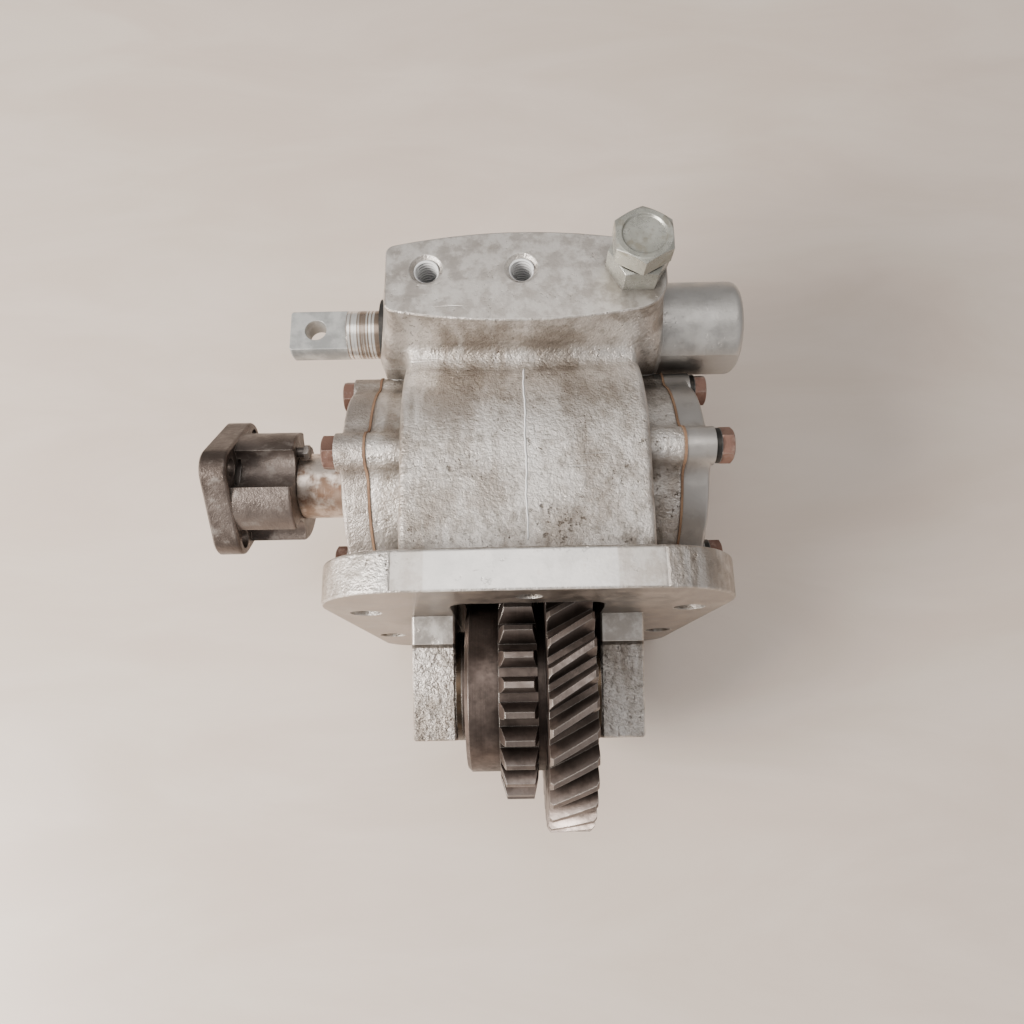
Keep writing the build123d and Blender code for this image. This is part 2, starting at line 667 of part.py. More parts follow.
def cover_blank(side):
    """Cover plate with raised ears and the spigot that holds the bearing."""
    outer = COVER_INNER + COVER_THICKNESS
    plate = prism(cover_outline(), side * COVER_INNER, side * outer)
    outer_face = plate.faces().sort_by(Axis.X)[0 if side < 0 else -1]
    plate = fillet(outer_face.edges(), 1.5)
    plate += ear_pads(side * (outer - 3), side * (outer + EAR_RISE))
    low, high = sorted((side * (BEARING_END + 0.1), side * COVER_INNER))
    spigot = ring(BEARING_OUTER_RADIUS - RUNNING_FIT, BEARING_OUTER_RADIUS - 4, low, high, OUTPUT_AXIS)
    return plate + spigot - cover_clearance_holes(side)


def left_cover():
    outer = COVER_INNER + COVER_THICKNESS
    cover = cover_blank(-1)
    cover -= cylinder(BEARING_BORE_RADIUS + 1.0, -outer - 1, -COVER_INNER + 1, OUTPUT_AXIS)
    cover -= cylinder(OIL_SEAL_RADIUS, -outer - 1, -outer + OIL_SEAL_WIDTH, OUTPUT_AXIS)
    return cover


def right_cover():
    recess = cylinder(SPLINE_TIP_RADIUS + 2, COVER_INNER - 1, COVER_INNER + 4, OUTPUT_AXIS)
    return cover_blank(1) - recess


def gasket(side):
    """Paper gasket whose edge shows round the cover."""
    sheet = prism(cover_outline(GASKET_EDGE), side * (SIDE_FACE + 0.02), side * (COVER_INNER - 0.02))
    sheet -= cylinder(BEARING_OUTER_RADIUS + 0.5, side * (SIDE_FACE - 1), side * (COVER_INNER + 1), OUTPUT_AXIS)
    sheet -= block((-80, 80), (0, FLANGE_THICKNESS + 0.2), (-100, 100))
    sheet -= block((-80, 80), (ROD_AXIS[0] - BOSS_FLAT - 0.2, 160), (0, 90))
    return sheet - cover_clearance_holes(side)


def cover_bolts(side, lift):
    """Hex bolts of one cover, lifted off the ears by their washers."""
    seat = COVER_INNER + COVER_THICKNESS + EAR_RISE + lift
    shank = seat - SIDE_FACE + COVER_BOLT_REACH
    bolts = []
    for number, (y, z) in enumerate(ear_centres()):
        bolt = side_bolt(COVER_BOLT_HEX, COVER_BOLT_HEAD, COVER_BOLT_RADIUS - 0.02, shank, 17.0 * number)
        if side < 0:
            bolt = Rot(0, 0, 180) * bolt
        bolts.append(Pos(side * seat, y, z) * bolt)
    return Compound(children=bolts)


def right_spring_washers():
    seat = COVER_INNER + COVER_THICKNESS + EAR_RISE
    washers = []
    for centre in ear_centres():
        split = Pos(seat + SPRING_WASHER / 2, *centre) * Rot(0, 12, 0) * Pos(0, 6, 0) * Box(8, 6, 1.2)
        whole = ring(7.3, COVER_BOLT_RADIUS + 0.2, seat + 0.02, seat + SPRING_WASHER - 0.02, centre)
        washers.append(whole - split)
    return Compound(children=washers)


def detent_plug_nut():
    body = Pos(PLUG_X, ROD_AXIS[0], PAD_HEIGHT) * hex_prism(PLUG_HEX, PLUG_NUT_HEIGHT)
    return body - upright(PLUG_RADIUS, PAD_HEIGHT - 1, PAD_HEIGHT + PLUG_NUT_HEIGHT + 1, PLUG_X, ROD_AXIS[0])


def detent_plug_bolt():
    """Hex bolt with a dished round top that closes the detent bore."""
    head = hex_prism(PLUG_HEX, PLUG_HEAD_HEIGHT, 30.0)
    head -= Pos(0, 0, PLUG_HEAD_HEIGHT - 0.8) * Cone(
        8.2, 8.8, 0.81, align=(Align.CENTER, Align.CENTER, Align.MIN)
    )
    seat = PAD_HEIGHT + PLUG_NUT_HEIGHT + PLUG_GAP
    shank = upright(PLUG_RADIUS - 0.02, PLUG_TIP, seat + 1, PLUG_X, ROD_AXIS[0])
    return Pos(PLUG_X, ROD_AXIS[0], seat) * head + shank


def detent_spring():
    """Coil spring between the plug and the ball."""
    low = ROD_AXIS[1] + ROD_RADIUS + 2 * DETENT_BALL_RADIUS + 0.9
    height = PLUG_TIP - low - 0.9
    path = Helix(pitch=height / 4.5, height=height, radius=3.4)
    wire = Plane(origin=path @ 0, z_dir=path % 0) * Circle(0.7)
    return Pos(PLUG_X, ROD_AXIS[0], low) * sweep(wire, path, is_frenet=True)


def detent_ball():
    return Pos(PLUG_X, ROD_AXIS[0], ROD_AXIS[1] + ROD_RADIUS + RUNNING_FIT + DETENT_BALL_RADIUS) * Sphere(
        DETENT_BALL_RADIUS
    )


# --------------------------------------------------------- idler pin and rod

def idler_pin():
    pin = turned(
        [
            (-IDLER_PIN_END, 0), (-IDLER_PIN_END, IDLER_PIN_RADIUS - 1), (-IDLER_PIN_END + 1, IDLER_PIN_RADIUS - 0.01),
            (IDLER_PIN_END - 1, IDLER_PIN_RADIUS - 0.01), (IDLER_PIN_END, IDLER_PIN_RADIUS - 1), (IDLER_PIN_END, 0),
        ],
        IDLER_AXIS,
    )
    return pin - upright(LOCK_PIN_RADIUS, -40, IDLER_AXIS[1], -LOCK_PIN_X, IDLER_AXIS[0])


def idler_lock_pin():
    low = IDLER_AXIS[1] - LUG_HEIGHT_AT_PIN + 1
    return upright(LOCK_PIN_RADIUS - 0.02, low, IDLER_AXIS[1] - 0.5, -LOCK_PIN_X, IDLER_AXIS[0])


def thrust_washer(side):
    low, high = sorted((side * (CLUSTER_HUB_END + RUNNING_FIT), side * (WINDOW_HALF_WIDTH - RUNNING_FIT)))
    return ring(CLUSTER_HUB_RADIUS, IDLER_PIN_RADIUS + 0.1, low, high, IDLER_AXIS)


def shift_rod():
    """Shift rod with a flat drilled end outside and two detent grooves inside."""
    groove = 1.2
    points = [(ROD_LEFT, 0), (ROD_LEFT, ROD_RADIUS - 0.8), (ROD_LEFT + 0.8, ROD_RADIUS)]
    for centre in (PLUG_X, PLUG_X + SHIFT_TRAVEL):
        points += [
            (centre - 2.5, ROD_RADIUS), (centre - 1, ROD_RADIUS - groove), (centre + 1, ROD_RADIUS - groove),
            (centre + 2.5, ROD_RADIUS),
        ]
    points += [(ROD_RIGHT - 1, ROD_RADIUS), (ROD_RIGHT, ROD_RADIUS - 1), (ROD_RIGHT, 0)]
    rod = turned(points, ROD_AXIS)
    half = ROD_FLAT_THICKNESS / 2
    for side in (-1, 1):
        rod -= block(
            (ROD_LEFT - 1, ROD_FLAT_START),
            (ROD_AXIS[0] - 20, ROD_AXIS[0] + 20),
            (ROD_AXIS[1] + side * half, ROD_AXIS[1] + side * (half + 20)),
        )
    rod -= upright(ROD_EYE_RADIUS, 0, 60, ROD_EYE_X, ROD_AXIS[0])
    return rod - upright(FORK_PIN_RADIUS, 0, 60, FORK_CENTRE, ROD_AXIS[0])


def shift_fork():
    """Fork that straddles the groove of the sliding gear."""
    thickness = FORK_GROOVE_END - FORK_GROOVE_START - 0.6
    low = FORK_CENTRE - thickness / 2
    sector = Pos(20, 0) * Rectangle(40, 2 * FORK_RING_RADIUS)
    ring_face = Circle(FORK_RING_RADIUS) - Circle(FORK_GROOVE_RADIUS + 0.3)
    arms = ring_face & sector
    web = Pos((FORK_GROOVE_RADIUS + 4 + ROD_DISTANCE) / 2, 0) * Rectangle(
        ROD_DISTANCE - FORK_GROOVE_RADIUS - 4, 21
    )
    face = Pos(*OUTPUT_AXIS) * Rot(0, 0, FORK_ANGLE) * (arms + web)
    fork = prism(face, low, low + thickness)
    fork += cylinder(FORK_BOSS_RADIUS, FORK_CENTRE - 6.5, FORK_CENTRE + 6.5, ROD_AXIS)
    fork -= cylinder(ROD_RADIUS + 0.02, -20, 40, ROD_AXIS)
    return fork - upright(FORK_PIN_RADIUS, 0, 60, FORK_CENTRE, ROD_AXIS[0])


def fork_pin():
    reach = FORK_BOSS_RADIUS - 0.8
    return upright(FORK_PIN_RADIUS - 0.02, ROD_AXIS[1] - reach, ROD_AXIS[1] + reach, FORK_CENTRE, ROD_AXIS[0])


def shift_rod_seal():
    return ring(
        ROD_SEAL_RADIUS - 0.02, ROD_RADIUS + RUNNING_FIT, -SIDE_FACE + 0.3, -SIDE_FACE + ROD_SEAL_WIDTH - 0.1, ROD_AXIS
    )


# ------------------------------------------------- output shaft and its parts

def bearing_rings(side):
    """Outer and inner ring of one ball bearing, both grooved for the balls."""
    low, high = sorted((side * (BEARING_START + 0.02), side * (BEARING_END - 0.02)))
    groove = Pos((low + high) / 2, *OUTPUT_AXIS) * Rot(0, 90, 0) * Torus(BALL_CIRCLE, BALL_RADIUS + 0.06)
    outer = ring(BEARING_OUTER_RADIUS - 0.01, BALL_CIRCLE + 2.9, low, high, OUTPUT_AXIS) - groove
    inner = ring(BALL_CIRCLE - 2.9, BEARING_BORE_RADIUS, low, high, OUTPUT_AXIS) - groove
    return outer, inner


def bearing_balls(side):
    middle = side * (BEARING_START + BEARING_END) / 2
    return Compound(
        children=[
            Pos(middle, *around(OUTPUT_AXIS, BALL_CIRCLE, 360 * turn / BALL_COUNT)) * Sphere(BALL_RADIUS)
            for turn in range(BALL_COUNT)
        ]
    )


def bearing_cage(side):
    """Pressed cage that keeps the balls apart."""
    middle = side * (BEARING_START + BEARING_END) / 2
    cage = ring(BALL_CIRCLE + 1.0, BALL_CIRCLE - 1.0, middle - 3.6, middle + 3.6, OUTPUT_AXIS)
    for turn in range(BALL_COUNT):
        cage -= Pos(middle, *around(OUTPUT_AXIS, BALL_CIRCLE, 360 * turn / BALL_COUNT)) * Sphere(BALL_RADIUS + 0.12)
    return cage


def output_shaft():
    """Splined shaft with two bearing journals, a keyed seat and a threaded end."""
    journal = BEARING_BORE_RADIUS - 0.01
    shaft = turned(
        [
            (SHAFT_LEFT, 0), (SHAFT_LEFT, NUT_THREAD_RADIUS - 1), (SHAFT_LEFT + 1, NUT_THREAD_RADIUS - 0.05),
            (RECESS_FLOOR + 0.4, NUT_THREAD_RADIUS - 0.05), (RECESS_FLOOR + 0.4, HUB_BORE_RADIUS - 0.02),
            (HUB_END, HUB_BORE_RADIUS - 0.02), (HUB_END + 0.2, journal), (-CIRCLIP_END, journal),
            (-CIRCLIP_END, CIRCLIP_GROOVE), (-BEARING_END, CIRCLIP_GROOVE), (-BEARING_END, journal),
            (-BEARING_START, journal), (-BEARING_START, SPLINE_ROOT_RADIUS), (BEARING_START, SPLINE_ROOT_RADIUS),
            (BEARING_START, journal), (BEARING_END, journal), (BEARING_END, CIRCLIP_GROOVE),
            (CIRCLIP_END, CIRCLIP_GROOVE), (CIRCLIP_END, journal), (SHAFT_RIGHT - 1, journal),
            (SHAFT_RIGHT, journal - 1), (SHAFT_RIGHT, 0),
        ],
        OUTPUT_AXIS,
    )
    shaft += prism(Pos(*OUTPUT_AXIS) * spline_outline(), -BEARING_START, BEARING_START)
    return shaft - key_space()


def circlip(side):
    """Open ring in the groove outside one bearing."""
    low, high = sorted((side * (BEARING_END + 0.02), side * (CIRCLIP_END - 0.02)))
    clip = ring(CIRCLIP_RADIUS, CIRCLIP_GROOVE + 0.02, low, high, OUTPUT_AXIS)
    gap = Pos(0, OUTPUT_AXIS[0], OUTPUT_AXIS[1] - 17) * Box(200, 5, 10)
    return clip - gap


def oil_seal():
    outer = COVER_INNER + COVER_THICKNESS
    return ring(
        OIL_SEAL_RADIUS - 0.02, BEARING_BORE_RADIUS + 0.03, -outer + 0.4, -outer + OIL_SEAL_WIDTH - 0.05, OUTPUT_AXIS
    )


def key_space():
    """Room of the parallel key, half in the shaft and half in the hub."""
    centre = Pos((KEY_START + KEY_END) / 2, *OUTPUT_AXIS)
    return centre * Pos(0, 0, HUB_BORE_RADIUS - 0.5) * Box(KEY_END - KEY_START, KEY_WIDTH, KEY_HEIGHT)


def yoke_key():
    centre = Pos((KEY_START + KEY_END) / 2, *OUTPUT_AXIS)
    return centre * Pos(0, 0, HUB_BORE_RADIUS - 0.5) * Box(
        KEY_END - KEY_START - 0.04, KEY_WIDTH - 0.04, KEY_HEIGHT - 0.04
    )


def companion_flange():
    """Four-bolt companion flange with a scalloped hub."""
    plate_face = Pos(*OUTPUT_AXIS) * Rot(0, 0, YOKE_FIRST_ANGLE - 45) * RectangleRounded(
        2 * PLATE_HALF_SIDE, 2 * PLATE_HALF_SIDE, PLATE_CORNER
    )
    plate = prism(plate_face, PLATE_OUTER, PLATE_INNER)
    plate = fillet(plate.faces().sort_by(Axis.X)[-1].edges(), 1.4)
    plate = chamfer(plate.faces().sort_by(Axis.X)[0].edges(), 0.8)
    hub = cylinder(HUB_RADIUS, PLATE_INNER - 1, HUB_END, OUTPUT_AXIS)
    hub = fillet(hub.faces().sort_by(Axis.X)[-1].edges(), 1.0)
    flange = plate + hub
    for turn in range(4):
        centre = around(OUTPUT_AXIS, YOKE_BOLT_CIRCLE + 1, YOKE_FIRST_ANGLE + 90 * turn)
        flange -= cylinder(SCALLOP_RADIUS, PLATE_INNER, HUB_END + 1, centre)
        hole = around(OUTPUT_AXIS, YOKE_BOLT_CIRCLE, YOKE_FIRST_ANGLE + 90 * turn)
        flange -= cylinder(YOKE_HOLE_RADIUS, PLATE_OUTER - 1, PLATE_INNER + 1, hole)
    flange -= cylinder(RECESS_RADIUS, PLATE_OUTER - 1, RECESS_FLOOR, OUTPUT_AXIS)
    flange -= cylinder(HUB_BORE_RADIUS, RECESS_FLOOR - 1, HUB_END + 1, OUTPUT_AXIS)
    flange -= cylinder(KEEPER_RADIUS, HUB_END - 10, HUB_END + 1, KEEPER_CENTRE)
    return flange - key_space()


def keeper_screw():
    """Small screw in the end of the hub, beside the shaft."""
    shank = cylinder(KEEPER_RADIUS - 0.02, HUB_END - 9.5, HUB_END + 3.5, KEEPER_CENTRE)
    head = Pos(HUB_END + 3.5, *KEEPER_CENTRE) * side_bolt(6.0, 2.2, 1.0, 1.0)
    return shank + head


def yoke_washer():
    return ring(18.0, NUT_THREAD_RADIUS + 0.2, RECESS_FLOOR - 2.5, RECESS_FLOOR - 0.02, OUTPUT_AXIS)


def yoke_nut():
    nut = Plane.YZ * hex_prism(30.0, 10.0, 11.0)
    nut = Pos(RECESS_FLOOR - 2.52, *OUTPUT_AXIS) * Rot(0, 0, 180) * nut
    return nut - cylinder(NUT_THREAD_RADIUS, RECESS_FLOOR - 20, RECESS_FLOOR, OUTPUT_AXIS)


def main():
    left_outer, left_inner = bearing_rings(-1)
    right_outer, right_inner = bearing_rings(1)
    nodes = {
        "housing": housing(),
        "left_cover": left_cover(),
        "right_cover": right_cover(),
        "left_gasket": gasket(-1),
        "right_gasket": gasket(1),
        "left_cover_bolts": cover_bolts(-1, 0.02),
        "right_cover_bolts": cover_bolts(1, SPRING_WASHER),
        "right_spring_washers": right_spring_washers(),
        "detent_plug_nut": detent_plug_nut(),
        "detent_plug_bolt": detent_plug_bolt(),
        "detent_spring": detent_spring(),
        "detent_ball": detent_ball(),
        "idler_pin": idler_pin(),
        "idler_lock_pin": idler_lock_pin(),
        "left_thrust_washer": thrust_washer(-1),
        "right_thrust_washer": thrust_washer(1),
        "idler_cluster_gear": idler_cluster_gear(),
        "left_needle_rollers": needle_rollers(-27.5, -2),
        "right_needle_rollers": needle_rollers(2, 27.5),
        "needle_spacer": needle_spacer(),
        "output_oil_seal": oil_seal(),
        "left_bearing_outer_ring": left_outer,
        "left_bearing_inner_ring": left_inner,
        "left_bearing_balls": bearing_balls(-1),
        "left_bearing_cage": bearing_cage(-1),
        "right_bearing_outer_ring": right_outer,
        "right_bearing_inner_ring": right_inner,
        "right_bearing_balls": bearing_balls(1),
        "right_bearing_cage": bearing_cage(1),
        "output_shaft": output_shaft(),
        "left_circlip": circlip(-1),
        "right_circlip": circlip(1),
        "companion_flange": companion_flange(),
        "yoke_key": yoke_key(),
        "yoke_keeper_screw": keeper_screw(),
        "yoke_washer": yoke_washer(),
        "yoke_nut": yoke_nut(),
        "sliding_gear": sliding_gear(),
        "shift_rod": shift_rod(),
        "shift_fork": shift_fork(),
        "fork_pin": fork_pin(),
        "shift_rod_seal": shift_rod_seal(),
    }
    os.makedirs("parts", exist_ok=True)
    for name, shape in nodes.items():
        export_step(shape, f"parts/{name}.step")


if __name__ == "__main__":
    main()
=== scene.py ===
"""Looks of the side-mount power take-off gearbox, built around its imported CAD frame, in metres."""
import math

import bpy
from mathutils import Matrix, Vector
from mathutils.bvhtree import BVHTree


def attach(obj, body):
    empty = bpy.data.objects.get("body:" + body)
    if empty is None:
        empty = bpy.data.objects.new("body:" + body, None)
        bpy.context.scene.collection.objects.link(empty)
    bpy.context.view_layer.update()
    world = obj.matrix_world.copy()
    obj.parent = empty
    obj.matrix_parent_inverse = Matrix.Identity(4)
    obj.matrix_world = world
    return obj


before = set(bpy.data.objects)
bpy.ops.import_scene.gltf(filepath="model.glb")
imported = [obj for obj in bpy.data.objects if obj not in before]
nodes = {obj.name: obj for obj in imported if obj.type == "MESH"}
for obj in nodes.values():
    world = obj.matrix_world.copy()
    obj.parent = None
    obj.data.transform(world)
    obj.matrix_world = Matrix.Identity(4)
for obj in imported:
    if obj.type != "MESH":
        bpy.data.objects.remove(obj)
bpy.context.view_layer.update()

FLOOR_Z = -0.088
PAD_TOP = 0.084
SHIFT_BLOCK_Y = 0.131
PAD_THREAD_RADIUS = 0.00512
THREAD_PITCH = 0.00175
THREAD_TURNS = 11
STEPS_PER_TURN = 24
IDLER_Y = -0.0275
IDLER_Z = -0.004
SEAM_X = 0.0002
SEAM_START_Y = 0.0225
SEAM_STEP = 0.0017
SEAM_STEPS = 46
CAMERA_PLACE = (-0.0057, -0.0487, 0.3546)
CAMERA_TILT = math.radians(16.0)
CAMERA_ROLL = math.radians(-1.1)
LENS = 27.07


# ---------------------------------------------------------------- node graph helpers
class Shader:
    """A material's node tree, with short calls for the nodes used here."""

    def __init__(self, name):
        self.material = bpy.data.materials.new(name)
        self.material.use_nodes = True
        self.tree = self.material.node_tree
        self.surface = self.tree.nodes["Principled BSDF"]
        self.place = self.add("ShaderNodeTexCoord").outputs["Object"]
        self.normal = self.add("ShaderNodeNewGeometry").outputs["Normal"]

    def add(self, kind, settings=(), inputs=()):
        node = self.tree.nodes.new(kind)
        for key, value in dict(settings).items():
            setattr(node, key, value)
        for key, value in dict(inputs).items():
            self.put(node.inputs[key], value)
        return node

    def put(self, socket, value):
        if isinstance(value, bpy.types.NodeSocket):
            self.tree.links.new(value, socket)
        elif value is not None:
            if socket.type == "RGBA" and len(value) == 3:
                value = (*value, 1.0)
            socket.default_value = value

    def set(self, key, value):
        self.put(self.surface.inputs[key], value)

    def calc(self, operation, a, b=None):
        return self.add("ShaderNodeMath", {"operation": operation}, {0: a, 1: b}).outputs[0]

    def plus(self, a, b):
        return self.calc("ADD", a, b)

    def times(self, a, b):
        return self.calc("MULTIPLY", a, b)

    def invert(self, a):
        return self.calc("SUBTRACT", 1.0, a)

    def step(self, value, low, high, to_low=0.0, to_high=1.0):
        """value carried smoothly from the range low..high to the range to_low..to_high."""
        settings = {"interpolation_type": "SMOOTHSTEP"}
        inputs = {"Value": value, "From Min": low, "From Max": high, "To Min": to_low, "To Max": to_high}
        return self.add("ShaderNodeMapRange", settings, inputs).outputs[0]

    def mix(self, factor, a, b):
        node = self.add("ShaderNodeMix", {"data_type": "RGBA"})
        self.put(node.inputs[0], factor)
        self.put(node.inputs[6], a)
        self.put(node.inputs[7], b)
        return node.outputs[2]

    def blend(self, factor, a, b):
        """A number between a and b."""
        node = self.add("ShaderNodeMix", {"data_type": "FLOAT"})
        self.put(node.inputs[0], factor)
        self.put(node.inputs[2], a)
        self.put(node.inputs[3], b)
        return node.outputs[0]

    def stretch(self, scale, turn=(0, 0, 0)):
        inputs = {"Vector": self.place, "Scale": scale, "Rotation": turn}
        return self.add("ShaderNodeMapping", {}, inputs).outputs[0]

    def noise(self, scale, detail=3.0, rough=0.55, vector=None, distort=0.0):
        vector = self.place if vector is None else vector
        inputs = {"Vector": vector, "Scale": scale, "Detail": detail}
        inputs |= {"Roughness": rough, "Distortion": distort}
        return self.add("ShaderNodeTexNoise", {}, inputs).outputs["Fac"]

    def axes(self, vector=None):
        node = self.add("ShaderNodeSeparateXYZ", {}, {0: self.place if vector is None else vector})
        return node.outputs

    def edges(self, radius, low=0.02, high=0.2):
        """1 on the model's edges, within radius of them, and 0 elsewhere."""
        rounded = self.add("ShaderNodeBevel", {"samples": 4}, {"Radius": radius}).outputs[0]
        dot = self.add("ShaderNodeVectorMath", {"operation": "DOT_PRODUCT"}, {0: rounded, 1: self.normal})
        return self.step(self.invert(dot.outputs["Value"]), low, high)

    def crevices(self, distance, low=0.35, high=0.95):
        """1 in inner corners, within distance of them, and 0 in the open."""
        node = self.add("ShaderNodeAmbientOcclusion", {"samples": 6}, {"Distance": distance})
        return self.invert(self.step(node.outputs["AO"], low, high))

    def soft_edges(self, radius):
        return self.add("ShaderNodeBevel", {"samples": 4}, {"Radius": radius}).outputs[0]

    def bump(self, height, distance, strength=1.0, normal=None):
        inputs = {"Height": height, "Distance": distance, "Strength": strength, "Normal": normal}
        return self.add("ShaderNodeBump", {}, inputs).outputs[0]

    def scratches(self, turn, scale=260.0, aspect=0.04, low=0.70, high=0.78):
        """Thin, mostly parallel lines along one direction, 1 on a line and 0 between."""
        wave = self.noise(9.0, 1.0)
        fine = self.noise(scale, 2.0, 0.5, self.stretch((aspect, 1, 1), turn=turn))
        gate = self.step(wave, 0.45, 0.6)
        return self.times(self.step(fine, low, high), gate)


def dress(shader, *names):
    """Gives a material to whole CAD nodes."""
    for name in names:
        mesh = nodes[name].data
        mesh.materials.clear()
        mesh.materials.append(shader.material)


# ---------------------------------------------------------------- materials of the object
def cast_aluminium():
    """Sand-cast skin, with machined pad, mounting face, lug roots and side faces picked out by place."""
    s = Shader("cast_aluminium")
    x, y, z = s.axes()
    _, ny, nz = s.axes(s.normal)
    pad = s.times(s.step(z, 0.0838, 0.0839), s.step(nz, 0.9, 0.97))
    face = s.times(s.step(y, 0.0001, 0.0003, 1.0, 0.0), s.step(s.times(ny, -1.0), 0.9, 0.97))
    lug_root = s.times(s.step(y, -0.0135, -0.0115), s.step(y, -0.0002, 0.0, 1.0, 0.0))
    machined = s.calc("MAXIMUM", s.calc("MAXIMUM", pad, face), lug_root)
    lug = s.step(y, -0.0135, -0.0115, 1.0, 0.0)

    stains = s.noise(30.0, 6.0, 0.70, s.stretch((1.0, 0.6, 1.0), turn=(0.0, 0.0, 0.6)))
    mottle = s.noise(120.0, 5.0, 0.7)
    grain = s.noise(900.0, 3.0, 0.6)
    pits = s.times(s.step(s.noise(420.0, 3.0, 0.7), 0.60, 0.68), s.step(s.noise(55.0, 3.0), 0.46, 0.60))
    lumps = s.plus(s.noise(190.0, 4.0, 0.6), s.times(s.noise(480.0, 3.0, 0.7), 0.6))
    smears = s.noise(30.0, 3.0, 0.6, s.stretch((3.0, 0.5, 1.0), turn=(0.0, 0.5, 0.35)))

    light = (0.76, 0.715, 0.67)
    dark = (0.41, 0.36, 0.315)
    colour = s.mix(s.step(stains, 0.40, 0.58), dark, light)
    colour = s.mix(s.times(s.step(mottle, 0.48, 0.66), 0.55), colour, (0.25, 0.215, 0.18))
    colour = s.mix(s.times(s.step(smears, 0.50, 0.68), 0.65), colour, (0.90, 0.865, 0.83))
    colour = s.mix(s.times(pits, 0.7), colour, (0.16, 0.125, 0.095))
    boss = s.times(s.step(x, 0.0600, 0.0612), s.step(y, 0.106, 0.108))
    satin = s.mix(s.step(mottle, 0.3, 0.7), (0.50, 0.49, 0.47), (0.58, 0.57, 0.55))
    colour = s.mix(s.times(boss, 0.85), colour, satin)
    bare = s.mix(s.step(mottle, 0.40, 0.62), (0.52, 0.475, 0.43), (0.80, 0.765, 0.72))
    colour = s.mix(s.times(s.calc("MAXIMUM", pad, lug_root), 0.8), colour, bare)
    brown = s.mix(s.step(mottle, 0.35, 0.7), (0.21, 0.175, 0.15), (0.40, 0.345, 0.30))
    colour = s.mix(s.times(face, 0.85), colour, brown)
    lines = s.scratches((0.2, 0.0, 0.9))
    lines = s.calc("MAXIMUM", lines, s.scratches((0.0, 0.3, -0.5), 420.0, 0.05, 0.72, 0.79))
    colour = s.mix(s.times(lines, 0.6), colour, (0.82, 0.80, 0.77))
    along = s.step(x, -0.0385, -0.0375)
    patch = s.times(s.times(along, s.step(x, 0.0315, 0.0325, 1.0, 0.0)), s.step(y, 0.0145, 0.0158, 1.0, 0.0))
    patch = s.times(s.times(patch, s.step(z, 0.083, 0.0835)), s.step(mottle, 0.30, 0.42, 0.45, 1.0))
    colour = s.mix(s.times(patch, 0.75), colour, (0.86, 0.84, 0.81))
    # Painted shade: inner corners darkened by an occlusion mask, standing partly for dirt in the crevices.
    dirt_and_painted_shade = s.crevices(0.012)
    colour = s.mix(s.times(dirt_and_painted_shade, 0.65), colour, (0.10, 0.085, 0.07))
    worn = s.edges(0.0012)
    colour = s.mix(s.times(worn, 0.55), colour, (0.80, 0.80, 0.78))
    s.set("Base Color", colour)

    s.set("Metallic", 0.88)
    rough = s.blend(machined, s.step(mottle, 0.3, 0.7, 0.34, 0.56), s.step(mottle, 0.3, 0.7, 0.28, 0.44))
    s.set("Roughness", rough)
    skin = s.plus(s.times(grain, 0.5), s.times(s.noise(330.0, 4.0, 0.65), 0.9))
    skin = s.calc("SUBTRACT", skin, s.times(pits, 0.8))
    skin = s.times(skin, s.blend(s.calc("MAXIMUM", machined, boss), 1.0, 0.10))
    skin = s.plus(skin, s.times(s.times(lug, lumps), 3.2))
    skin = s.calc("SUBTRACT", skin, s.times(lines, 0.25))
    s.set("Normal", s.bump(skin, 0.00075, 1.0, s.soft_edges(0.0007)))
    return s


def plain_metal(
    name, light, dark, spots, metallic, rough, scale=60.0, bump=0.0003, edge=(0.7, 0.7, 0.7), wear=0.4
):
    """A metal that varies between two colours, with spots, painted shade and dirt in its corners and bright
    worn edges.
    """
    s = Shader(name)
    broad = s.noise(scale * 0.35, 4.0, 0.6)
    mottle = s.noise(scale * 1.7, 4.0, 0.62)
    grain = s.noise(scale * 14.0, 3.0, 0.6)
    colour = s.mix(s.step(broad, 0.38, 0.64), dark, light)
    colour = s.mix(s.times(s.step(mottle, 0.52, 0.7), 0.7), colour, spots)
    # Painted shade: corners darkened by an occlusion mask, standing partly for dirt.
    colour = s.mix(s.times(s.crevices(0.006), 0.6), colour, (0.04, 0.034, 0.028))
    colour = s.mix(s.times(s.edges(0.0007), wear), colour, edge)
    s.set("Base Color", colour)
    s.set("Metallic", metallic)
    s.set("Roughness", s.step(mottle, 0.3, 0.72, rough - 0.08, rough + 0.12))
    height = s.plus(s.times(grain, 0.4), mottle)
    s.set("Normal", s.bump(height, bump, 0.7, s.soft_edges(0.0004)))
    return s


